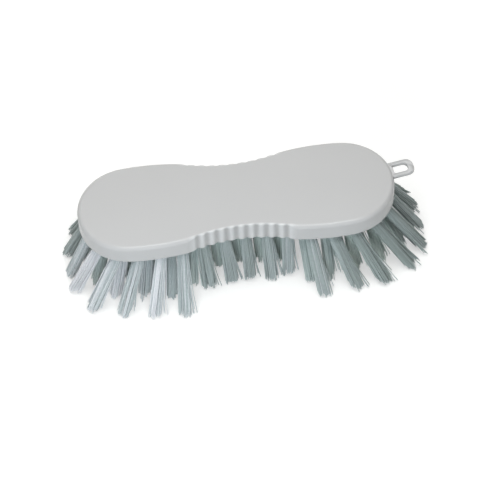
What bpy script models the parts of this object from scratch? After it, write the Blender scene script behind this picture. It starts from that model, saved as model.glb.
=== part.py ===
"""A masonry scrubbing brush: a waisted one-piece block with grip flutes and a
moulded hanging loop, set with splayed tufts of stiff bristle. Each tuft is a
bundle folded round a flat wire staple and driven into its own slanting hole.

Units are metres. Z is up, the bristle tips are trimmed level at Z = 0, and the
hanging loop points along +X.
"""

import math

import bmesh
import bpy
from mathutils import Matrix, Vector

# Block
BLOCK_LENGTH = 0.2
LOBE_WIDTH = 0.0666
WAIST_WIDTH = 0.0509
BLOCK_THICKNESS = 0.0134
END_EASE = 0.0005
LOBE_DRAW = 0.0101
FLANK_SHARE = 0.577
TOP_ROUND = 0.0028
LOWER_ROUND = 0.0008

# Finger grip along both sides of the waist
GRIP_RECESS = 0.001
GRIP_SHOULDER = 0.005
FLUTE_COUNT = 10
FLUTE_PITCH = 0.0061
FLUTE_RADIUS = 0.0016
FLUTE_DEPTH = 0.0012

# Hanging loop
LOOP_REACH = 0.0136
LOOP_ROOT = 0.006
LOOP_WIDTH = 0.0116
LOOP_RIM = 0.0024
LOOP_END_BAR = 0.0033
LOOP_THICKNESS = 0.0027
LOOP_SETBACK = 0.0008
LOOP_TURN = math.radians(9)
LOOP_CORNER = 0.0046
SLOT_WEB = 0.001
SLOT_END_CORNER = 0.0026
SLOT_ROOT_CORNER = 0.0008

# Tufts and their holes
BRISTLE_REACH = 0.044
HOLE_DIAMETER = 0.0062
HOLE_DEPTH = 0.0092
TUFT_CLEARANCE = 0.0003
TUFT_COLLAR = 0.0014
STRAND_GAP = 0.0003
TIP_SPREAD_SHARE = 1.42
TUFT_SIDES = 8

# Rows of tufts: inset from the block's outline, count, and how far past +X the first one sits
OUTER_INSET = 0.0075
OUTER_COUNT = 32
OUTER_START_SHARE = 0.2
INNER_INSET = 0.018
INNER_COUNT = 26
INNER_START_SHARE = 0.3

# Splay of the tufts: straight at the waist, fanned about a point on each lobe
LEAN_RUN = 0.0105
OUTER_FAN_SETBACK = 0.0317
OUTER_WAIST_LEAN = math.radians(8)
OUTER_LOBE_LEAN = math.radians(27)
INNER_FAN_SETBACK = 0.0289
INNER_WAIST_LEAN = math.radians(1.5)
INNER_LOBE_LEAN = math.radians(20.5)

# Staples
STAPLE_LENGTH = 0.0084
STAPLE_HEIGHT = 0.0018
STAPLE_GAUGE = 0.00045
FOLD_THICKNESS = 0.0014

# Modelling
CUT_OVERRUN = 0.003
WELD = 0.00001
FLAT_SHARE = 0.99999
ARC_STEP = math.radians(5)
RIM_STEP = math.radians(2.2)
CORNER_STEP = math.radians(22.5)
TOP_ROUND_SEGMENTS = 4
LOWER_ROUND_SEGMENTS = 2
FLUTE_SIDES = 18

UNDERSIDE = BRISTLE_REACH
TOP = UNDERSIDE + BLOCK_THICKNESS


def clear_scene():
    for obj in list(bpy.data.objects):
        bpy.data.objects.remove(obj, do_unlink=True)


def new_collection(name, parent):
    collection = bpy.data.collections.new(name)
    parent.children.link(collection)
    return collection


def material(name, colour, roughness, metallic):
    made = bpy.data.materials.new(name)
    made.use_nodes = True
    shader = made.node_tree.nodes["Principled BSDF"]
    shader.inputs["Base Color"].default_value = (*colour, 1)
    shader.inputs["Roughness"].default_value = roughness
    shader.inputs["Metallic"].default_value = metallic
    made.diffuse_color = (*colour, 1)
    return made


def add_object(name, mesh, collection, look=None):
    obj = bpy.data.objects.new(name, mesh)
    collection.objects.link(obj)
    if look:
        mesh.materials.append(look)
    return obj


def add_cutter(name, mesh, collection, place=Matrix()):
    obj = add_object(name, mesh, collection)
    obj.matrix_world = place
    obj.display_type = "WIRE"
    obj.hide_render = True
    return obj


def mesh_from(name, bm):
    mesh = bpy.data.meshes.new(name)
    bmesh.ops.recalc_face_normals(bm, faces=bm.faces)
    bm.to_mesh(mesh)
    bm.free()
    return mesh


def box_mesh(name, size, centre):
    bm = bmesh.new()
    place = Matrix.Translation(centre) @ Matrix.Diagonal((*size, 1))
    bmesh.ops.create_cube(bm, size=1, matrix=place)
    return mesh_from(name, bm)


def prism(bm, sides, radius, low, high):
    """A closed prism along Z with a flat side facing +X, so that a ring of them matches its hole."""
    turn = Matrix.Rotation(math.pi / sides, 4, "Z")
    place = Matrix.Translation((0, 0, (low + high) / 2)) @ turn
    bmesh.ops.create_cone(
        bm, cap_ends=True, segments=sides, radius1=radius, radius2=radius,
        depth=high - low, matrix=place,
    )


def prism_mesh(name, sides, radius, low, high):
    bm = bmesh.new()
    prism(bm, sides, radius, low, high)
    return mesh_from(name, bm)


def arc(centre, radius, start, end, step):
    """Points along an arc, without its last one."""
    count = max(2, math.ceil(abs(end - start) / step))
    angles = (start + (end - start) * i / count for i in range(count))
    return [centre + Vector((math.cos(a), math.sin(a))) * radius for a in angles]


def smooth(value, low, high):
    """0 up to low, 1 from high on, and an even S between them."""
    share = min(1, max(0, (value - low) / (high - low)))
    return (1 - math.cos(math.pi * share)) / 2


def end_radius():
    return LOBE_WIDTH / 2 - END_EASE


def end_centre(side=1):
    """The middle of the round end, towards the loop or away from it."""
    return Vector(((BLOCK_LENGTH / 2 - end_radius()) * side, 0))


def quarter_outline(inset=0, step=ARC_STEP):
    """The block's outline from the +X end to the middle of the waist, as four tangent arcs.

    The end arc runs into a flatter shoulder arc that ends level at the lobe's widest place. From
    there a flank arc turns inwards and meets the hollow waist arc.
    """
    quarter = math.pi / 2
    end = end_centre()
    widest = Vector((end.x - LOBE_DRAW, LOBE_WIDTH / 2))
    shoulder_radius = (LOBE_DRAW ** 2 + widest.y ** 2 - end_radius() ** 2) / (2 * END_EASE)
    shoulder = widest - Vector((0, shoulder_radius))
    waist = WAIST_WIDTH / 2 + GRIP_RECESS
    draw_in = widest.y - waist
    radii = (widest.x ** 2 + draw_in ** 2) / (2 * draw_in)
    flank = widest - Vector((0, radii * FLANK_SHARE))
    waist_radius = radii * (1 - FLANK_SHARE)
    hollow = Vector((0, waist + waist_radius))
    end_angle = math.atan2(-shoulder.y, end.x - shoulder.x)
    flank_angle = math.atan2(hollow.y - flank.y, -flank.x)
    points = arc(end, end_radius() - inset, 0, end_angle, step)
    points += arc(shoulder, shoulder_radius - inset, end_angle, quarter, step / 2)
    points += arc(flank, radii * FLANK_SHARE - inset, quarter, flank_angle, step / 2)
    points += arc(hollow, waist_radius + inset, flank_angle - math.pi, -quarter, step / 4)
    points.append(Vector((0, waist - inset)))
    return points


def whole_outline(quarter):
    """The quarter mirrored to all four sides, counterclockwise from the +X end."""
    half = quarter + [Vector((-p.x, p.y)) for p in reversed(quarter[:-1])]
    return half + [Vector((p.x, -p.y)) for p in reversed(half[1:-1])]


def grip_half_length():
    return (FLUTE_COUNT - 1) * FLUTE_PITCH / 2


def grip_recess(x):
    """How far the finger grip lies inside the smooth outline at this distance along the block."""
    edge = grip_half_length() + FLUTE_RADIUS
    return GRIP_RECESS * (1 - smooth(abs(x), edge, edge + GRIP_SHOULDER))


def block_outline():
    points = quarter_outline()
    recessed = [Vector((p.x, p.y - grip_recess(p.x))) for p in points]
    return whole_outline(recessed)


def flat_solid(name, outlines, thickness, middle):
    """A filled 2D curve of one or more closed outlines, made thick and turned into a mesh."""
    curve = bpy.data.curves.new(name, "CURVE")
    curve.dimensions = "2D"
    curve.fill_mode = "BOTH"
    curve.extrude = thickness / 2
    for outline in outlines:
        spline = curve.splines.new("POLY")
        spline.points.add(len(outline) - 1)
        for point, place in zip(spline.points, outline):
            point.co = (place.x, place.y, 0, 1)
        spline.use_cyclic_u = True
    obj = bpy.data.objects.new(name, curve)
    obj.location.z = middle
    bpy.context.scene.collection.objects.link(obj)
    bpy.context.view_layer.update()
    filled = obj.evaluated_get(bpy.context.evaluated_depsgraph_get())
    mesh = bpy.data.meshes.new_from_object(filled)
    mesh.transform(obj.matrix_world)
    bpy.data.objects.remove(obj)
    bm = bmesh.new()
    bm.from_mesh(mesh)
    bpy.data.meshes.remove(mesh)
    bmesh.ops.remove_doubles(bm, verts=bm.verts, dist=WELD)
    bmesh.ops.recalc_face_normals(bm, faces=bm.faces)
    return bm


def flatten_caps(bm):
    """Join the triangles of the two flat faces, so that a bevel runs evenly round their edges."""
    inner = [e for e in bm.edges if len(e.link_faces) == 2 and is_flat(e) and is_cap(e.link_faces[0])]
    bmesh.ops.dissolve_edges(bm, edges=inner, use_verts=False)


def is_flat(edge):
    first, second = edge.link_faces
    return first.normal.dot(second.normal) > FLAT_SHARE


def is_cap(face):
    return abs(face.normal.z) > FLAT_SHARE


def rim_edges(bm, height):
    """The edges round a flat face at this height."""
    level = [e for e in bm.edges if all(abs(v.co.z - height) < WELD for v in e.verts)]
    return [e for e in level if not is_flat(e)]


def block_body(collection, look):
    bm = flat_solid("block_outline", [block_outline()], BLOCK_THICKNESS, UNDERSIDE + BLOCK_THICKNESS / 2)
    flatten_caps(bm)
    for height, radius, segments in (
        (TOP, TOP_ROUND, TOP_ROUND_SEGMENTS),
        (UNDERSIDE, LOWER_ROUND, LOWER_ROUND_SEGMENTS),
    ):
        bmesh.ops.bevel(
            bm, geom=rim_edges(bm, height), offset=radius, offset_type="OFFSET",
            segments=segments, profile=0.5, affect="EDGES",
        )
    return add_object("brush_block", mesh_from("brush_block", bm), collection, look)


def beside_the_axis(points):
    """The points turned about the lobe's end, so that the loop stands squarely out of its curve."""
    turn = Matrix.Rotation(LOOP_TURN, 2)
    return [end_centre() + turn @ (p - end_centre()) for p in points]


def loop_outline():
    """The loop from inside the block to its rounded end, seen from above."""
    half = LOOP_WIDTH / 2
    reach = BLOCK_LENGTH / 2 + LOOP_REACH
    root = BLOCK_LENGTH / 2 - LOOP_ROOT
    points = [Vector((root, -half))]
    bend = reach - LOOP_CORNER
    quarter = math.pi / 2
    points += arc(Vector((bend, LOOP_CORNER - half)), LOOP_CORNER, -quarter, 0, CORNER_STEP)
    points += arc(Vector((bend, half - LOOP_CORNER)), LOOP_CORNER, 0, quarter, CORNER_STEP)
    points += [Vector((bend, half)), Vector((root, half))]
    return beside_the_axis(points)


def slot_outline():
    half = LOOP_WIDTH / 2 - LOOP_RIM
    start = BLOCK_LENGTH / 2 + SLOT_WEB
    end = BLOCK_LENGTH / 2 + LOOP_REACH - LOOP_END_BAR
    quarter = math.pi / 2
    corners = (
        (start, -half, SLOT_ROOT_CORNER, 2),
        (end, -half, SLOT_END_CORNER, 3),
        (end, half, SLOT_END_CORNER, 0),
        (start, half, SLOT_ROOT_CORNER, 1),
    )
    points = []
    for x, y, radius, turn in corners:
        inward = Vector((math.copysign(radius, start + end - 2 * x), math.copysign(radius, -y)))
        centre = Vector((x, y)) + inward
        last = (turn + 1) * quarter
        points += arc(centre, radius, turn * quarter, last, CORNER_STEP)
        points.append(centre + Vector((math.cos(last), math.sin(last))) * radius)
    return beside_the_axis(points)


def hanging_loop(collection):
    middle = TOP - LOOP_SETBACK - LOOP_THICKNESS / 2
    bm = flat_solid("loop_outline", [loop_outline(), slot_outline()], LOOP_THICKNESS, middle)
    return add_cutter("hanging_loop", mesh_from("hanging_loop", bm), collection)


def outward_at(points, x):
    """The outline's place and outward direction where it passes this distance along the block."""
    for first, second in zip(points, points[1:]):
        if second.x <= x <= first.x:
            along = (second - first).normalized()
            share = (first.x - x) / (first.x - second.x)
            return first.lerp(second, share), Vector((along.y, -along.x))
    raise ValueError("no such place on the outline")


def grip_flutes(collection):
    """Upright cylinders sunk into both sides of the waist; each runs out in the rounded top edge."""
    mesh = prism_mesh("flute", FLUTE_SIDES, FLUTE_RADIUS, UNDERSIDE - CUT_OVERRUN, TOP + CUT_OVERRUN)
    near_side = block_outline()[: len(block_outline()) // 2 + 1]
    for index in range(FLUTE_COUNT):
        x = index * FLUTE_PITCH - grip_half_length()
        place, outward = outward_at(near_side, x)
        centre = place + outward * (FLUTE_RADIUS - FLUTE_DEPTH)
        for side in (1, -1):
            shift = Matrix.Translation((centre.x, centre.y * side, 0))
            add_cutter(f"flute_{index + 1:02d}_{'far' if side > 0 else 'near'}", mesh, collection, shift)


def boolean(obj, operation, cutter):
    modifier = obj.modifiers.new(cutter.name, "BOOLEAN")
    modifier.operation = operation
    modifier.solver = "EXACT"
    if isinstance(cutter, bpy.types.Collection):
        modifier.operand_type = "COLLECTION"
        modifier.collection = cutter
    else:
        modifier.object = cutter


def ring_places(inset, count, start_share):
    """Evenly spaced places along the outline at this inset, the first a share of a step past +X."""
    outline = whole_outline(quarter_outline(inset, RIM_STEP))
    ends = outline[1:] + outline[:1]
    lengths = [(b - a).length for a, b in zip(outline, ends)]
    step = sum(lengths) / count
    places = []
    walked = 0
    for first, second, length in zip(outline, ends, lengths):
        while len(places) < count and (len(places) + start_share) * step <= walked + length:
            share = ((len(places) + start_share) * step - walked) / length
            places.append(first.lerp(second, share))
        walked += length
    return places


def lean_of(place, fan_setback, waist_lean, lobe_lean):
    """The tuft's lean in radians and its direction: sideways at the waist, fanned on the lobes."""
    lobe_share = smooth(abs(place.x), grip_half_length(), grip_half_length() + LEAN_RUN)
    side = math.copysign(1, place.x)
    fan_centre = end_centre(side) - Vector((fan_setback * side, 0))
    fanned = (place - fan_centre).normalized()
    sideways = Vector((0, math.copysign(1, place.y)))
    direction = sideways.lerp(fanned, lobe_share).normalized()
    return waist_lean + (lobe_lean - waist_lean) * lobe_share, direction


def hole_frame(place, lean, direction):
    """A frame at the hole's mouth with Z up the hole and X level, across the lean."""
    out = Vector((direction.x * math.sin(lean), direction.y * math.sin(lean), -math.cos(lean)))
    across = Vector((-direction.y, direction.x, 0))
    up = -out
    turn = Matrix((across, up.cross(across), up)).transposed().to_4x4()
    return Matrix.Translation((place.x, place.y, UNDERSIDE)) @ turn


def tuft_frames():
    """Every tuft's name and the frame of its hole."""
    frames = []
    outer_splay = (OUTER_FAN_SETBACK, OUTER_WAIST_LEAN, OUTER_LOBE_LEAN)
    inner_splay = (INNER_FAN_SETBACK, INNER_WAIST_LEAN, INNER_LOBE_LEAN)
    rows = (
        ("outer", OUTER_INSET, OUTER_COUNT, OUTER_START_SHARE, outer_splay),
        ("inner", INNER_INSET, INNER_COUNT, INNER_START_SHARE, inner_splay),
    )
    for row, inset, count, start_share, splay in rows:
        for index, place in enumerate(ring_places(inset, count, start_share)):
            frame = hole_frame(place, *lean_of(place, *splay))
            frames.append((f"tuft_{row}_{index + 1:02d}", frame))
    return frames


def flat_radius(diameter):
    """The corner radius of a many-sided hole or bundle that measures this much across its flats."""
    return diameter / 2 / math.cos(math.pi / TUFT_SIDES)


def tuft_mesh(name, frame):
    """A folded bundle that fills its hole, parted below the block into straight strands.

    The bundle's lower face is poked into one cell for each strand. Each cell is drawn in and
    extruded along its own line, so the strands fan apart and end level at the trim plane.
    """
    bm = bmesh.new()
    radius = flat_radius(HOLE_DIAMETER - 2 * TUFT_CLEARANCE)
    prism(bm, TUFT_SIDES, radius, -TUFT_COLLAR, HOLE_DEPTH - TUFT_CLEARANCE)
    bm.faces.ensure_lookup_table()
    lower = min(bm.faces, key=lambda face: face.calc_center_median().z)
    cells = bmesh.ops.poke(bm, faces=[lower])["faces"]
    bmesh.ops.inset_individual(bm, faces=cells, thickness=STRAND_GAP / 2, use_even_offset=True)
    tips = bmesh.ops.extrude_discrete_faces(bm, faces=cells)["faces"]
    drop = UNDERSIDE / frame.to_3x3().col[2].z - TUFT_COLLAR
    for tip in tips:
        middle = tip.calc_center_median()
        spread = TIP_SPREAD_SHARE - 1
        along = frame.to_3x3() @ Vector((middle.x * spread, middle.y * spread, -drop))
        for vertex in tip.verts:
            start = frame @ vertex.co
            vertex.co = frame.inverted() @ (start - along * (start.z / along.z))
    return mesh_from(name, bm)


def staple_places():
    """The staple's size and its middle in the hole's frame."""
    size = Vector((STAPLE_LENGTH, STAPLE_GAUGE, STAPLE_HEIGHT))
    middle = Vector((0, 0, HOLE_DEPTH - FOLD_THICKNESS - STAPLE_HEIGHT / 2))
    return size, middle


def hole_cutters(frames, holes, pockets):
    """A slanting round cutter for each hole, and a flat one for the staple's ends near its blind end."""
    radius = flat_radius(HOLE_DIAMETER)
    hole = prism_mesh("hole", TUFT_SIDES, radius, -CUT_OVERRUN, HOLE_DEPTH)
    size, middle = staple_places()
    room = Vector((2 * TUFT_CLEARANCE,) * 3)
    pocket = box_mesh("staple_pocket", size + room, middle)
    for name, frame in frames:
        add_cutter(f"hole_{name}", hole, holes, frame)
        add_cutter(f"pocket_{name}", pocket, pockets, frame)


def stapled_tufts(frames, collection, look, staples):
    """Each tuft is one object with the staple that crosses its fold and stands out on both sides."""
    staple = box_mesh("staple", *staple_places())
    for name, frame in frames:
        tuft = add_object(name, tuft_mesh(name, frame), collection, look)
        tuft.matrix_world = frame
        boolean(tuft, "UNION", add_cutter(f"staple_{name}", staple, staples, frame))


def shade(obj):
    obj.data.shade_smooth()
    obj.data.set_sharp_from_angle(angle=math.radians(30))


def build():
    clear_scene()
    root = bpy.context.scene.collection
    parts = new_collection("masonry_brush", root)
    cutters = new_collection("cutters", root)
    flutes = new_collection("flute_cutters", cutters)
    holes = new_collection("hole_cutters", cutters)
    pockets = new_collection("pocket_cutters", cutters)
    staples = new_collection("staples", cutters)
    plastic = material("white_plastic", (0.6, 0.6, 0.6), 0.35, 0)
    bristle = material("stiff_bristle", (0.5, 0.55, 0.53), 0.45, 0)

    frames = tuft_frames()
    block = block_body(parts, plastic)
    boolean(block, "UNION", hanging_loop(cutters))
    grip_flutes(flutes)
    hole_cutters(frames, holes, pockets)
    for group in (flutes, holes, pockets):
        boolean(block, "DIFFERENCE", group)
    shade(block)
    stapled_tufts(frames, parts, bristle, staples)


build()
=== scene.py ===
"""The look of a waisted masonry scrubbing brush: its white moulded block with grip flutes and a
hanging loop, and its tufts as separate stiff filaments, on a plain pale floor.

Units are metres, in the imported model's own frame: +X to the loop, +Z up from the bristle tips.
"""

import math
import random

import bmesh
import bpy
from mathutils import Matrix, Vector


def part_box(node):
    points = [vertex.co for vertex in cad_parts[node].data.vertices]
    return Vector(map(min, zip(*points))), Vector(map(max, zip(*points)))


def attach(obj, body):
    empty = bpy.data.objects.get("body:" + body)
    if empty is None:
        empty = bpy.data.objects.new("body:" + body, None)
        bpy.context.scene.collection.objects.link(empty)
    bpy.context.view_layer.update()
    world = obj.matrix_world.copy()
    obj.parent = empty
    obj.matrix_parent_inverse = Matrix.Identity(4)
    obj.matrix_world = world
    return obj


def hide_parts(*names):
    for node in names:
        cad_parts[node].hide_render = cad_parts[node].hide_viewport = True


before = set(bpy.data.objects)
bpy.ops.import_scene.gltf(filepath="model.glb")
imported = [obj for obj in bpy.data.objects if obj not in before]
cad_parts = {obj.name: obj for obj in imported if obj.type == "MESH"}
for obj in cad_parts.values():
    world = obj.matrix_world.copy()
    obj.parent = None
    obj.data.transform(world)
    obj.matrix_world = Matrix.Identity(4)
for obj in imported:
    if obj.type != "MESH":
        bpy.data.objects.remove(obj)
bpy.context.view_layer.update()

QUARTER_TURN = math.pi / 2

# Block, with the sizes of its solid and a slightly larger lower round
BLOCK_LENGTH = 0.2
LOBE_WIDTH = 0.0666
WAIST_WIDTH = 0.0509
BLOCK_THICKNESS = 0.0134
END_EASE = 0.0005
LOBE_DRAW = 0.0101
FLANK_SHARE = 0.577
TOP_ROUND = 0.0028
LOWER_ROUND = 0.0009
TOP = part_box("brush_block")[1][2]
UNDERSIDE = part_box("brush_block")[0][2]
END_RADIUS = LOBE_WIDTH / 2 - END_EASE
END_CENTRE = Vector((BLOCK_LENGTH / 2 - END_RADIUS, 0))
BLOCK_SHARP_ANGLE = math.radians(35)

# Finger grip
GRIP_RECESS = 0.001
GRIP_SHOULDER = 0.005
FLUTE_COUNT = 10
FLUTE_PITCH = 0.0061
FLUTE_WIDTH = 0.0034
FLUTE_BLEND = 0.85 * FLUTE_WIDTH
FLUTE_DEPTH = 0.0011
FLUTE_SOFTNESS = 0.0003

# Hanging loop, slightly longer and with a wider rim than its solid, as in the photograph
LOOP_REACH = 0.0143
LOOP_ROOT = 0.005
LOOP_WIDTH = 0.0118
LOOP_RIM = 0.0027
LOOP_END_BAR = 0.0038
LOOP_THICKNESS = 0.0027
LOOP_SETBACK = 0.0008
LOOP_TURN = math.radians(9)
LOOP_CORNER = 0.0046
LOOP_EDGE = 0.0006
SLOT_WEB = 0.001
SLOT_END_CORNER = 0.0026
SLOT_ROOT_CORNER = 0.0008

# Where a tuft's solid is read: below the block's underside, and up to its tips
COLLAR_LOWEST = 0.003
COLLAR_HIGHEST = 0.0002
TIPS_BELOW = 0.0005

# Holes, as deep as can be seen
HOLE_RADIUS = 0.0031
HOLE_DEPTH = 0.004

# Tufts and their filaments
ROOT_DEPTH = 0.002
ROOT_RADIUS = 0.0029
TIP_HALF_WIDTH = 0.0042
TIP_HALF_DEPTH = 0.0034
TIP_SQUARING = 0.6
SPREAD_POWER = 0.3
FILAMENT_COUNT = 96
FILAMENT_RADIUS = 0.0003
FILAMENT_SIDES = 5
FILAMENT_STEPS = 4
FILAMENT_SWAY = 0.0002
FILAMENT_SHARP_ANGLE = math.radians(80)
CLUMP_COUNT = 6
CLUMP_SHARE = 0.22
CLUMP_TRIM = 0.0034
TRIM_RAGGED = 0.0017
STRAY_CHOICE = 14
STRAY_COUNT = 4
STRAY_SWAY = 0.0045
STRAY_LEAST_SHARE = 0.3
STRAY_WAY = Vector((1, 0, 0))
STRAY_WAY_AT_LOOP = Vector((0.3, -1, 0))
LOOP_END_FROM = 0.082
SWEEP_TO_LOOP = 0.0018

# How light the filaments are painted, 0 dark to 1 light, by row, the inner rows lighter as painted
# light against their shade, and how much that changes
OUTER_TONE = 0.24
INNER_TONE = 0.5
LOBE_TONE = 0.5
TONE_CHANGE = 0.12

# Bristle plastic: dark, middle and light, for filaments in the open and among others; the colours
# among others are painted lighter and greener against the shade they lie in
MIDDLE_TONE = 0.6
OUTER_COLOURS = ((0.33, 0.39, 0.367), (0.57, 0.63, 0.63), (0.94, 0.94, 0.96))
INNER_PAINTED_LIGHT_COLOURS = ((0.48, 0.555, 0.535), (0.64, 0.72, 0.7), (0.82, 0.92, 0.87))
BRISTLE_ROUGHNESS = 0.38
BRISTLE_IOR = 1.5
STREAK_SCALE = 700
STREAK_SHARE = 0.3

# Block plastic, with the painted shade that darkens the grip's hollows and the painted highlight
# that lightens its crests
BLOCK_TINTS = ((0.575, 0.568, 0.56), (0.612, 0.605, 0.6))
BLOCK_ROUGHNESS = 0.25
BLOCK_IOR = 1.49
CLOUD_SCALE = 14
CLOUD_DETAIL = 2
GRAIN_SCALE = 900
GRAIN_STRENGTH = 0.04
GRAIN_HEIGHT = 0.0002
HOLLOW_PAINTED_SHADE = 0.24
CREST_PAINTED_HIGHLIGHT = 0.3

# The colour sockets of a Mix node
MIX_A, MIX_B, MIX_RESULT = 6, 7, 2

# Tufts that fill a lobe inside the two rings, as mouth and tip, turned half round for the other
LOBE_TUFTS = (
    ((0.057, -0.0075), (0.0598, -0.0156)),
    ((0.070, -0.0055), (0.0746, -0.0113)),
    ((0.0855, -0.0035), (0.1027, -0.0105)),
    ((0.057, 0.0075), (0.0598, 0.0156)),
    ((0.070, 0.0055), (0.0746, 0.0113)),
)

# Tufts that the photograph shows aimed away from the line of their holes, and the tip's shift
RE_AIMED = {
    "tuft_outer_15": (-0.0055, -0.0005),
    "tuft_outer_16": (-0.0005, -0.002),
    "tuft_outer_17": (0.0022, 0),
    "tuft_outer_18": (-0.002, 0.004),
    "tuft_outer_19": (-0.0041, 0),
    "tuft_outer_20": (-0.0007, 0),
    "tuft_outer_22": (-0.0035, 0),
    "tuft_outer_24": (0.0015, 0),
    "tuft_outer_27": (-0.0019, 0.005),
    "tuft_outer_28": (-0.0008, 0.0014),
    "tuft_outer_30": (0.0006, -0.0027),
    "tuft_outer_31": (0.0044, -0.001),
    "tuft_outer_32": (0.004, -0.0015),
    "tuft_outer_01": (0.002, -0.003),
    "tuft_outer_02": (0.007, -0.004),
    "tuft_outer_03": (0.013, -0.005),
    "tuft_inner_14": (0.001, -0.008),
    "tuft_inner_15": (0.002, -0.005),
    "tuft_inner_16": (0.0042, -0.003),
    "tuft_inner_17": (0.001, -0.0015),
    "tuft_inner_18": (-0.005, -0.0076),
    "tuft_inner_19": (0.0012, 0),
    "tuft_inner_22": (-0.003, 0),
    "tuft_inner_23": (0.002, -0.0024),
    "tuft_inner_24": (-0.0096, -0.0035),
    "tuft_inner_25": (-0.0099, -0.0044),
    "tuft_inner_26": (-0.0065, -0.0095),
}

# Tufts painted lighter or darker than the rest: lighter for painted sheen or to lift tufts that
# lie in shade, darker for painted shade
PAINTED_TUFT_TONES = {
    "tuft_outer_15": 0.15,
    "tuft_outer_16": 0.2,
    "tuft_outer_17": 0.65,
    "tuft_outer_18": 1.0,
    "tuft_outer_19": 0.62,
    "tuft_outer_20": 0.43,
    "tuft_outer_21": 0.65,
    "tuft_outer_22": 0.5,
    "tuft_outer_24": 0.38,
    "tuft_outer_28": 0.32,
    "tuft_outer_03": 0.05,
    "tuft_outer_30": 0.05,
    "tuft_outer_31": 0.05,
    "tuft_inner_15": 0.7,
    "tuft_inner_16": 0.4,
    "tuft_inner_17": 0.45,
    "tuft_inner_18": 0.5,
    "tuft_inner_19": 0.95,
    "tuft_inner_20": 0.95,
    "tuft_inner_21": 0.95,
    "tuft_inner_22": 0.95,
    "tuft_inner_23": 0.05,
    "tuft_inner_24": 0.2,
    "tuft_inner_25": 0.9,
    "tuft_inner_26": 0.9,
}

# Inner tufts that show between the outer ones, as lit as those
IN_THE_OPEN = ("tuft_inner_15", "tuft_inner_16", "tuft_inner_17")

# Camera, from the outline of the block in the photograph
CAMERA_DISTANCE = 1.3088
CAMERA_ELEVATION = math.radians(52)
CAMERA_AZIMUTH = math.radians(4.909)
CAMERA_ROLL = math.radians(3.133)
CAMERA_LENS = 149.36
CAMERA_SENSOR = 36
AIM_RIGHT = 0.00831
AIM_DOWN = 0.02689

# Studio: the floor's own white is least near the object, so that its shadow shows
FLOOR_RADIUS = 3
FLOOR_SIDES = 64
FLOOR_COLOUR = (0.615, 0.612, 0.597)
NEAR_WHITE = 0.48
NEAR_WHITE_UP_TO = 0.2
FULL_WHITE_FROM = 0.7
WORLD_COLOUR = (0.82, 0.95, 1)
WORLD_STRENGTH = 0.1

# Area lamps: name, place, size, power, colour, and whether it shows in reflections
LAMPS = (
    ("overhead", (0.15, 0.35, 1.8), (0.5, 0.5), 3.2, (1, 0.99, 0.97), False),
    ("left", (-0.4, 0.1, 1.9), (0.4, 0.4), 6.5, (1, 0.99, 0.97), False),
    ("strip", (0, -0.3, 1.1), (0.8, 0.4), 5.6, (1, 1, 1), True),
    ("key", (-0.1, -0.4, 0.2), (0.2, 0.2), 0.8, (0.85, 0.93, 1), False),
    ("low", (-0.4, -0.35, 0.05), (0.15, 0.15), 0.06, (0.88, 0.95, 1), False),
    ("behind", (-0.1, 0.9, 0.5), (0.4, 0.4), 3.2, (1, 1, 1), False),
)

# Mesh fineness
OUTLINE_STEP = 0.0015
GRIP_STEP = 0.00045
ROUND_STEPS = 8
LOWER_STEPS = 4
LOOP_CORNER_STEPS = 8
LOOP_EDGE_STEPS = 4
HOLE_SIDES = 20
MERGE = 0.000005


def arc(centre, radius, start, end, step):
    """Points along an arc, without its last one."""
    count = max(2, math.ceil(abs(end - start) * abs(radius) / step))
    angles = (start + (end - start) * i / count for i in range(count))
    return [centre + Vector((math.cos(a), math.sin(a))) * radius for a in angles]


def smooth(value, low, high):
    """0 up to low, 1 from high on, and an even S between them."""
    share = min(1, max(0, (value - low) / (high - low)))
    return (1 - math.cos(math.pi * share)) / 2


def soft_max(first, second, softness):
    """The larger of two values, with the change between them rounded."""
    gap = first - second
    return (first + second + math.sqrt(gap * gap + softness * softness)) / 2


def skin(bm, rings):
    """Faces from each ring of corners to the next."""
    for lower, upper in zip(rings, rings[1:]):
        for i in range(len(lower)):
            j = (i + 1) % len(lower)
            bm.faces.new((lower[i], lower[j], upper[j], upper[i]))


def close_ends(bm, rings):
    bm.faces.new(rings[-1])
    bm.faces.new(list(reversed(rings[0])))


def mesh_from(name, bm):
    mesh = bpy.data.meshes.new(name)
    bm.to_mesh(mesh)
    bm.free()
    return mesh


def quarter_outline(step):
    """The outline from the +X end to the middle of the waist, as four tangent arcs."""
    widest = Vector((END_CENTRE.x - LOBE_DRAW, LOBE_WIDTH / 2))
    shoulder_radius = (LOBE_DRAW ** 2 + widest.y ** 2 - END_RADIUS ** 2) / (2 * END_EASE)
    shoulder = widest - Vector((0, shoulder_radius))
    waist = WAIST_WIDTH / 2 + GRIP_RECESS
    draw_in = widest.y - waist
    both_radii = (widest.x ** 2 + draw_in ** 2) / (2 * draw_in)
    flank = widest - Vector((0, both_radii * FLANK_SHARE))
    waist_radius = both_radii * (1 - FLANK_SHARE)
    hollow = Vector((0, waist + waist_radius))
    end_angle = math.atan2(-shoulder.y, END_CENTRE.x - shoulder.x)
    flank_angle = math.atan2(hollow.y - flank.y, -flank.x)
    points = arc(END_CENTRE, END_RADIUS, 0, end_angle, step)
    points += arc(shoulder, shoulder_radius, end_angle, QUARTER_TURN, step)
    points += arc(flank, both_radii * FLANK_SHARE, QUARTER_TURN, flank_angle, GRIP_STEP)
    points += arc(hollow, waist_radius, flank_angle - math.pi, -QUARTER_TURN, GRIP_STEP)
    points.append(Vector((0, waist)))
    return points


def whole_outline(quarter):
    """The quarter mirrored to all four sides, counterclockwise from the +X end."""
    half = quarter + [Vector((-p.x, p.y)) for p in reversed(quarter[:-1])]
    return half + [Vector((p.x, -p.y)) for p in reversed(half[1:-1])]


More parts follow.
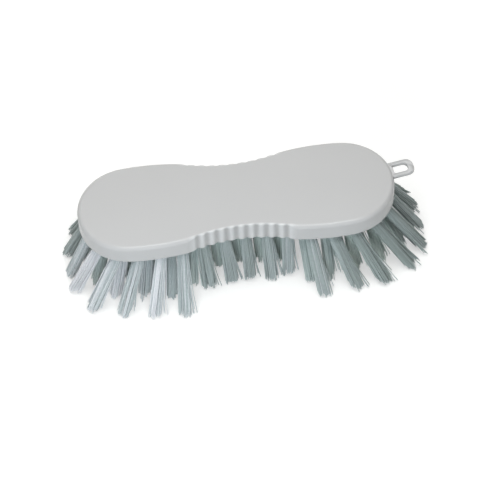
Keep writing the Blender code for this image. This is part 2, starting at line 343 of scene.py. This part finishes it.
def grip_depth(x):
    """How far the finger grip lies inside the smooth outline: its recess and its flutes."""
    half = (FLUTE_COUNT - 1) * FLUTE_PITCH / 2
    edge = half + FLUTE_WIDTH / 2
    depth = GRIP_RECESS * (1 - smooth(abs(x), edge, edge + GRIP_SHOULDER))
    nearest = round((x + half) / FLUTE_PITCH) * FLUTE_PITCH - half
    if abs(nearest) <= half + MERGE:
        share = min(1, abs(x - nearest) / FLUTE_BLEND)
        depth += FLUTE_DEPTH * (1 + math.cos(math.pi * share)) / 2
    return depth


def wall_profile():
    """Inset and height of each ring from the underside's edge to the top's, with both rounds."""
    profile = []
    for i in range(LOWER_STEPS + 1):
        turn = QUARTER_TURN * i / LOWER_STEPS
        inset = LOWER_ROUND * (1 - math.sin(turn))
        profile.append((inset, UNDERSIDE + LOWER_ROUND * (1 - math.cos(turn))))
    upright = BLOCK_THICKNESS - LOWER_ROUND - TOP_ROUND
    for i in range(1, ROUND_STEPS):
        profile.append((0, UNDERSIDE + LOWER_ROUND + upright * i / ROUND_STEPS))
    for i in range(ROUND_STEPS + 1):
        turn = QUARTER_TURN * i / ROUND_STEPS
        inset = TOP_ROUND * (1 - math.cos(turn))
        profile.append((inset, TOP - TOP_ROUND * (1 - math.sin(turn))))
    return profile


def block_mesh():
    """Rings of the outline, drawn in by the wall's profile and the flutes, closed by flat faces.

    The corners also carry how far each lies in a flute's hollow or on the crest between two, which
    the material uses for painted shade in the hollows and a painted highlight on the crests.
    """
    outline = whole_outline(quarter_outline(OUTLINE_STEP))
    count = len(outline)
    bm = bmesh.new()
    hollow = bm.verts.layers.float.new("hollow")
    crest = bm.verts.layers.float.new("crest")
    rings = []
    for inset, height in wall_profile():
        ring = []
        for i, place in enumerate(outline):
            along = (outline[(i + 1) % count] - outline[i - 1]).normalized()
            inward = Vector((-along.y, along.x))
            grip = grip_depth(place.x)
            depth = inset if grip < MERGE else soft_max(inset, grip, FLUTE_SOFTNESS)
            moved = place + inward * depth
            ring.append(bm.verts.new((moved.x, moved.y, height)))
            # hollow: how deep a corner lies in a flute, for painted shade; crest: how far it lies
            # on a crest, for a painted highlight
            share = max(0, grip - GRIP_RECESS) / FLUTE_DEPTH
            if height < TOP - TOP_ROUND / 2:
                ring[-1][hollow] = share
            if height < TOP - MERGE:
                ring[-1][crest] = (1 - share) * min(1, grip / GRIP_RECESS)
        rings.append(ring)
    skin(bm, rings)
    close_ends(bm, rings)
    return mesh_from("block_form", bm)


def rounded_corners(corners, growth):
    """An outline round four corners, each x, y and radius, with the whole of it grown outwards."""
    points = []
    for turn, (x, y, radius) in enumerate(corners):
        across = (1, -1, -1, 1)[turn]
        upward = (1, 1, -1, -1)[turn]
        grown = max(radius + growth, MERGE)
        centre = Vector((x + across * (growth - grown), y + upward * (growth - grown)))
        for i in range(LOOP_CORNER_STEPS + 1):
            angle = (turn + i / LOOP_CORNER_STEPS) * QUARTER_TURN
            points.append(centre + Vector((math.cos(angle), math.sin(angle))) * grown)
    return points


def loop_rows():
    """Outlines round the loop's section: up the outer side, over the top, down the slot, under."""
    half = LOOP_WIDTH / 2
    root = BLOCK_LENGTH / 2 - LOOP_ROOT
    reach = BLOCK_LENGTH / 2 + LOOP_REACH
    start = BLOCK_LENGTH / 2 + SLOT_WEB
    end = reach - LOOP_END_BAR
    slot = half - LOOP_RIM
    outer = (
        (reach, half, LOOP_CORNER), (root, half, 0),
        (root, -half, 0), (reach, -half, LOOP_CORNER),
    )
    inner = (
        (end, slot, SLOT_END_CORNER), (start, slot, SLOT_ROOT_CORNER),
        (start, -slot, SLOT_ROOT_CORNER), (end, -slot, SLOT_END_CORNER),
    )
    straight = LOOP_THICKNESS / 2 - LOOP_EDGE
    turns = [QUARTER_TURN * i / LOOP_EDGE_STEPS for i in range(LOOP_EDGE_STEPS + 1)]
    rise = [(LOOP_EDGE * (1 - math.cos(t)), straight + LOOP_EDGE * math.sin(t)) for t in turns]
    rows = [(rounded_corners(outer, -inset), height) for inset, height in rise]
    rows += [(rounded_corners(inner, inset), height) for inset, height in reversed(rise)]
    rows += [(rounded_corners(inner, inset), -height) for inset, height in rise]
    rows += [(rounded_corners(outer, -inset), -height) for inset, height in reversed(rise)]
    return rows


def loop_mesh():
    """The flat loop with its slot, rounded along every edge."""
    middle = TOP - LOOP_SETBACK - LOOP_THICKNESS / 2
    turn = Matrix.Rotation(LOOP_TURN, 2)
    bm = bmesh.new()
    rings = []
    for outline, height in loop_rows():
        turned = [END_CENTRE + turn @ (p - END_CENTRE) for p in outline]
        rings.append([bm.verts.new((p.x, p.y, middle + height)) for p in turned])
    skin(bm, rings + rings[:1])
    return mesh_from("loop_form", bm)


def add_object(name, mesh):
    obj = bpy.data.objects.new(name, mesh)
    bpy.context.scene.collection.objects.link(obj)
    return obj


def tuft_axis(name):
    """Where a tuft leaves the block and the direction that it points, read from its solid."""
    places = [v.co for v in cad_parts[name].data.vertices]
    lowest, highest = UNDERSIDE - COLLAR_LOWEST, UNDERSIDE - COLLAR_HIGHEST
    collar = [p for p in places if lowest < p.z < highest]
    tips = [p for p in places if p.z < TIPS_BELOW]
    start = sum(collar, Vector()) / len(collar)
    end = sum(tips, Vector()) / len(tips)
    along = (end - start).normalized()
    return start + along * ((UNDERSIDE - start.z) / along.z), along


def holes_mesh(axes):
    """One mesh of slanting round cutters, one at the mouth of every tuft's hole."""
    bm = bmesh.new()
    for mouth, along in axes:
        turn = along.to_track_quat("Z", "X").to_matrix().to_4x4()
        place = Matrix.Translation(mouth) @ turn
        bmesh.ops.create_cone(
            bm, cap_ends=True, segments=HOLE_SIDES, radius1=HOLE_RADIUS, radius2=HOLE_RADIUS,
            depth=2 * HOLE_DEPTH, matrix=place,
        )
    return mesh_from("hole_form", bm)


def boolean(obj, other, operation):
    modifier = obj.modifiers.new(operation, "BOOLEAN")
    modifier.operation = operation
    modifier.object = other
    modifier.solver = "EXACT"


def make_block(axes):
    """The block with its loop joined on and the mouths of its holes cut."""
    block = add_object("block_shell", block_mesh())
    loop = add_object("loop_form", loop_mesh())
    holes = add_object("hole_form", holes_mesh(axes))
    boolean(block, loop, "UNION")
    boolean(block, holes, "DIFFERENCE")
    bpy.context.view_layer.update()
    finished = block.evaluated_get(bpy.context.evaluated_depsgraph_get())
    cut = bpy.data.meshes.new_from_object(finished)
    block.modifiers.clear()
    block.data = cut
    bpy.data.objects.remove(loop)
    bpy.data.objects.remove(holes)
    cut.shade_smooth()
    cut.set_sharp_from_angle(angle=BLOCK_SHARP_ANGLE)
    return block


def bundle_places(count, rng):
    """Filaments spread evenly over a round bundle, as places in a circle of radius 1."""
    golden = math.pi * (3 - math.sqrt(5))
    places = []
    for i in range(count):
        reach = math.sqrt((i + 0.5) / count)
        angle = i * golden
        places.append(Vector((reach * math.cos(angle), reach * math.sin(angle))))
    rng.shuffle(places)
    return places


def filament(bm, points, turn, tone):
    """A thin rod through the points, closed at both ends, which carries its own tone."""
    layer = bm.verts.layers.float["tone"]
    rings = []
    for i, point in enumerate(points):
        before = points[max(0, i - 1)]
        after = points[min(len(points) - 1, i + 1)]
        along = (after - before).normalized()
        side = along.orthogonal().normalized()
        other = along.cross(side)
        ring = []
        for k in range(FILAMENT_SIDES):
            angle = turn + 2 * math.pi * k / FILAMENT_SIDES
            offset = side * math.cos(angle) + other * math.sin(angle)
            ring.append(bm.verts.new(point + offset * FILAMENT_RADIUS))
            ring[-1][layer] = tone
        rings.append(ring)
    skin(bm, rings)
    close_ends(bm, rings)


def filament_line(mouth, tuft_frame, place, clump, aim, sway, low):
    """Points from inside the hole down to the tip's level, spreading soon below the block."""
    across, other, along = tuft_frame
    reach = (UNDERSIDE - low) / -along.z
    points = [mouth - along * ROOT_DEPTH + (across * place.x + other * place.y) * ROOT_RADIUS]
    for i in range(FILAMENT_STEPS + 1):
        share = i / FILAMENT_STEPS
        spread = share ** SPREAD_POWER
        squaring = place.length / max(abs(place.x), abs(place.y))
        gathered = place.lerp(clump, CLUMP_SHARE * share) * squaring ** (TIP_SQUARING * share)
        width = ROOT_RADIUS + (TIP_HALF_WIDTH - ROOT_RADIUS) * spread
        depth = ROOT_RADIUS + (TIP_HALF_DEPTH - ROOT_RADIUS) * spread
        point = mouth + (along * reach + aim) * share
        point += across * gathered.x * width + other * gathered.y * depth
        points.append(point + sway * share ** 2)
    steepness = (points[-1] - points[-2]).normalized()
    points[-1] += steepness * ((points[-1].z - low) / -steepness.z)
    return points


def tuft_mesh(name, mouth, along, rng):
    """A bundle of stiff filaments that spreads from its hole to its ragged tips."""
    across = Vector((0, 0, 1)).cross(along).normalized()
    other = along.cross(across)
    aim = Vector((SWEEP_TO_LOOP, 0, 0)) + Vector((*RE_AIMED.get(name, (0, 0)), 0))
    places = bundle_places(FILAMENT_COUNT, rng)
    clumps = places[:CLUMP_COUNT]
    trims = [rng.uniform(0, CLUMP_TRIM) for _ in clumps]
    stray_way = STRAY_WAY_AT_LOOP if mouth.x > LOOP_END_FROM else STRAY_WAY
    outermost = sorted(places, key=lambda p: -stray_way.dot(across * p.x + other * p.y))
    strays = rng.sample(outermost[:STRAY_CHOICE], STRAY_COUNT)
    usual = OUTER_TONE if "outer" in name else INNER_TONE if "inner" in name else LOBE_TONE
    # The tuft's tone carries painted light and shade, and a random change
    tuft_tone = PAINTED_TUFT_TONES.get(name, usual) + rng.uniform(-TONE_CHANGE, TONE_CHANGE)
    bm = bmesh.new()
    bm.verts.layers.float.new("tone")
    for place in places:
        nearest = min(range(CLUMP_COUNT), key=lambda i: (clumps[i] - place).length)
        sway = Vector((rng.gauss(0, FILAMENT_SWAY), rng.gauss(0, FILAMENT_SWAY), 0))
        if place in strays:
            sway += stray_way * (rng.uniform(STRAY_LEAST_SHARE, 1) * STRAY_SWAY)
        low = FILAMENT_RADIUS + trims[nearest] + abs(rng.gauss(0, TRIM_RAGGED))
        clump = clumps[nearest]
        line = filament_line(mouth, (across, other, along), place, clump, aim, sway, low)
        tone = tuft_tone + rng.gauss(0, TONE_CHANGE)
        filament(bm, line, rng.uniform(0, math.pi), min(1, max(0, tone)))
    mesh = mesh_from(name, bm)
    mesh.shade_smooth()
    mesh.set_sharp_from_angle(angle=FILAMENT_SHARP_ANGLE)
    return mesh


def lobe_axes():
    """Mouth and direction of the tufts that only the scene shows, in both lobes."""
    axes = {}
    for side in (1, -1):
        for start, end in LOBE_TUFTS:
            mouth = Vector((side * start[0], side * start[1], UNDERSIDE))
            tip = Vector((side * end[0], side * end[1], 0))
            axes[f"tuft_lobe_{len(axes) + 1:02d}"] = (mouth, (tip - mouth).normalized())
    return axes


def new_material(name):
    """A material with its nodes, links and shader."""
    made = bpy.data.materials.new(name)
    made.use_nodes = True
    nodes, links = made.node_tree.nodes, made.node_tree.links
    return made, nodes, links, nodes["Principled BSDF"]


def add_node(nodes, kind, sockets=None, **settings):
    """A new node with some of its sockets and settings filled in."""
    node = nodes.new(kind)
    for name, value in settings.items():
        setattr(node, name, value)
    for name, value in (sockets or {}).items():
        node.inputs[name].default_value = value
    return node


def block_plastic():
    """White moulded polypropylene: an even satin skin with a faint, broad unevenness, with painted
    shade darkening the grip's flute hollows and a painted highlight lightening the crests between
    them.
    """
    made, nodes, links, shader = new_material("white_moulded_plastic")
    shader.inputs["Roughness"].default_value = BLOCK_ROUGHNESS
    shader.inputs["IOR"].default_value = BLOCK_IOR
    place = nodes.new("ShaderNodeTexCoord")
    cloud = add_node(nodes, "ShaderNodeTexNoise", {"Scale": CLOUD_SCALE, "Detail": CLOUD_DETAIL})
    first, second = ((*colour, 1) for colour in BLOCK_TINTS)
    tint = add_node(nodes, "ShaderNodeMix", {MIX_A: first, MIX_B: second}, data_type="RGBA")
    grain = add_node(nodes, "ShaderNodeTexNoise", {"Scale": GRAIN_SCALE})
    relief = {"Strength": GRAIN_STRENGTH, "Distance": GRAIN_HEIGHT}
    bump = add_node(nodes, "ShaderNodeBump", relief)
    links.new(place.outputs["Object"], cloud.inputs["Vector"])
    links.new(place.outputs["Object"], grain.inputs["Vector"])
    links.new(cloud.outputs["Fac"], tint.inputs[0])
    colour = tint.outputs[MIX_RESULT]
    # Painted shade mixed towards black in the hollows, painted highlight mixed towards white on
    # the crests
    for layer, strength, towards in (("hollow", HOLLOW_PAINTED_SHADE, 0), ("crest", CREST_PAINTED_HIGHLIGHT, 1)):
        extent = add_node(nodes, "ShaderNodeAttribute", attribute_name=layer)
        share = add_node(nodes, "ShaderNodeMath", {1: strength}, operation="MULTIPLY")
        aim = (towards, towards, towards, 1)
        shaded = add_node(nodes, "ShaderNodeMix", {MIX_B: aim}, data_type="RGBA")
        links.new(extent.outputs["Fac"], share.inputs[0])
        links.new(share.outputs[0], shaded.inputs[0])
        links.new(colour, shaded.inputs[MIX_A])
        colour = shaded.outputs[MIX_RESULT]
    links.new(colour, shader.inputs["Base Color"])
    links.new(grain.outputs["Fac"], bump.inputs["Height"])
    links.new(bump.outputs["Normal"], shader.inputs["Normal"])
    return made


def bristle_plastic(name, dark, middle, light):
    """Stiff white filament, from slate green to silver by its own tone, finely streaked; the tone
    paints shade at its dark end and sheen at its light end.
    """
    made, nodes, links, shader = new_material(name)
    shader.inputs["Roughness"].default_value = BRISTLE_ROUGHNESS
    shader.inputs["IOR"].default_value = BRISTLE_IOR
    place = nodes.new("ShaderNodeTexCoord")
    streak = add_node(nodes, "ShaderNodeTexNoise", {"Scale": STREAK_SCALE})
    tone = add_node(nodes, "ShaderNodeAttribute", attribute_name="tone")
    total = add_node(nodes, "ShaderNodeMath", {1: STREAK_SHARE}, operation="MULTIPLY_ADD")
    tint = nodes.new("ShaderNodeValToRGB")
    tint.color_ramp.elements[0].color = (*dark, 1)
    tint.color_ramp.elements[1].color = (*light, 1)
    tint.color_ramp.elements.new(MIDDLE_TONE).color = (*middle, 1)
    links.new(place.outputs["Object"], streak.inputs["Vector"])
    links.new(streak.outputs["Fac"], total.inputs[0])
    links.new(tone.outputs["Fac"], total.inputs[2])
    links.new(total.outputs[0], tint.inputs["Fac"])
    links.new(tint.outputs["Color"], shader.inputs["Base Color"])
    return made


def dress(axes):
    """The block and every tuft in their finer form, in place of their solids."""
    axes = axes | lobe_axes()
    block = make_block([axes[name] for name in sorted(axes)])
    block.data.materials.clear()
    block.data.materials.append(block_plastic())
    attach(block, "root")
    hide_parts("brush_block")
    outer = bristle_plastic("filament_in_the_open", *OUTER_COLOURS)
    inner = bristle_plastic("filament_among_others_painted_lighter", *INNER_PAINTED_LIGHT_COLOURS)
    for number, name in enumerate(sorted(axes)):
        rng = random.Random(number)
        mouth, along = axes[name]
        tuft = add_object(f"{name}_filaments", tuft_mesh(name, mouth, along, rng))
        # Tufts among others take the copy painted lighter against their shade
        tuft.data.materials.append(outer if "outer" in name or name in IN_THE_OPEN else inner)
        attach(tuft, "root")
        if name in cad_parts:
            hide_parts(name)


def camera_axes():
    """Right, up and forward of the camera that the photograph's outline gives."""
    level = Vector((math.cos(CAMERA_AZIMUTH), -math.sin(CAMERA_AZIMUTH), 0))
    ahead = Vector((math.sin(CAMERA_AZIMUTH), math.cos(CAMERA_AZIMUTH), 0))
    forward = ahead * math.cos(CAMERA_ELEVATION) - Vector((0, 0, math.sin(CAMERA_ELEVATION)))
    up = level.cross(forward)
    right = level * math.cos(CAMERA_ROLL) - up * math.sin(CAMERA_ROLL)
    up = level * math.sin(CAMERA_ROLL) + up * math.cos(CAMERA_ROLL)
    return right, up, forward


def add_camera():
    right, up, forward = camera_axes()
    middle = Vector((0, 0, UNDERSIDE))
    place = middle - forward * CAMERA_DISTANCE
    aim = (middle + right * AIM_RIGHT - up * AIM_DOWN - place).normalized()
    side = (right - aim * right.dot(aim)).normalized()
    turn = Matrix((side, side.cross(aim), -aim)).transposed().to_4x4()
    data = bpy.data.cameras.new("camera")
    data.sensor_width = CAMERA_SENSOR
    data.lens = CAMERA_LENS
    camera = add_object("camera", data)
    camera.matrix_world = Matrix.Translation(place) @ turn
    bpy.context.scene.camera = camera


def add_lights():
    middle = Vector((0, 0, UNDERSIDE))
    for name, place, size, power, colour, mirrored in LAMPS:
        data = bpy.data.lights.new(name, "AREA")
        data.shape = "RECTANGLE"
        data.size, data.size_y = size
        data.energy = power
        data.color = colour
        light = add_object(name, data)
        light.location = place
        light.rotation_euler = (middle - Vector(place)).to_track_quat("-Z", "Y").to_euler()
        light.visible_camera = False
        light.visible_glossy = mirrored


def with_own_white(nodes, links, surface):
    """A surface with its own white for camera, gloss and see-through rays, full white far out."""
    path = nodes.new("ShaderNodeLightPath")
    glow = nodes.new("ShaderNodeEmission")
    place = nodes.new("ShaderNodeTexCoord")
    reach = add_node(nodes, "ShaderNodeVectorMath", operation="LENGTH")
    strength = add_node(nodes, "ShaderNodeMapRange", {
        "From Min": NEAR_WHITE_UP_TO, "From Max": FULL_WHITE_FROM,
        "To Min": NEAR_WHITE, "To Max": 1,
    })
    links.new(place.outputs["Object"], reach.inputs[0])
    links.new(reach.outputs["Value"], strength.inputs["Value"])
    links.new(strength.outputs["Result"], glow.inputs["Strength"])
    seen = add_node(nodes, "ShaderNodeMath", operation="MAXIMUM")
    seen_or_passed = add_node(nodes, "ShaderNodeMath", operation="MAXIMUM")
    links.new(path.outputs["Is Camera Ray"], seen.inputs[0])
    links.new(path.outputs["Is Glossy Ray"], seen.inputs[1])
    links.new(seen.outputs[0], seen_or_passed.inputs[0])
    links.new(path.outputs["Is Transmission Ray"], seen_or_passed.inputs[1])
    none = add_node(nodes, "ShaderNodeBsdfTransparent", {"Color": (0, 0, 0, 1)})
    extra = nodes.new("ShaderNodeMixShader")
    links.new(seen_or_passed.outputs[0], extra.inputs[0])
    links.new(none.outputs[0], extra.inputs[1])
    links.new(glow.outputs[0], extra.inputs[2])
    total = nodes.new("ShaderNodeAddShader")
    links.new(surface, total.inputs[0])
    links.new(extra.outputs[0], total.inputs[1])
    return total.outputs[0]


def add_floor():
    bm = bmesh.new()
    bmesh.ops.create_circle(bm, cap_ends=True, segments=FLOOR_SIDES, radius=FLOOR_RADIUS)
    floor = add_object("floor", mesh_from("floor", bm))
    made, nodes, links, shader = new_material("floor")
    shader.inputs["Base Color"].default_value = (*FLOOR_COLOUR, 1)
    shader.inputs["Roughness"].default_value = 1
    shader.inputs["Specular IOR Level"].default_value = 0
    seen = with_own_white(nodes, links, shader.outputs[0])
    links.new(seen, nodes["Material Output"].inputs["Surface"])
    floor.data.materials.append(made)


def add_world():
    """A faint cool light from all round, which the camera sees as white."""
    world = bpy.data.worlds.new("studio")
    world.use_nodes = True
    nodes, links = world.node_tree.nodes, world.node_tree.links
    soft = nodes["Background"]
    soft.inputs["Color"].default_value = (*WORLD_COLOUR, 1)
    soft.inputs["Strength"].default_value = WORLD_STRENGTH
    white = add_node(nodes, "ShaderNodeBackground", {"Color": (1, 1, 1, 1), "Strength": 1})
    path = nodes.new("ShaderNodeLightPath")
    mix = nodes.new("ShaderNodeMixShader")
    links.new(path.outputs["Is Camera Ray"], mix.inputs[0])
    links.new(soft.outputs[0], mix.inputs[1])
    links.new(white.outputs[0], mix.inputs[2])
    links.new(mix.outputs[0], nodes["World Output"].inputs["Surface"])
    bpy.context.scene.world = world


def main():
    add_camera()
    bpy.context.scene.view_settings.view_transform = "Standard"
    tufts = [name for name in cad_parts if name.startswith("tuft_")]
    dress({name: tuft_axis(name) for name in tufts})
    add_floor()
    add_world()
    add_lights()


main()
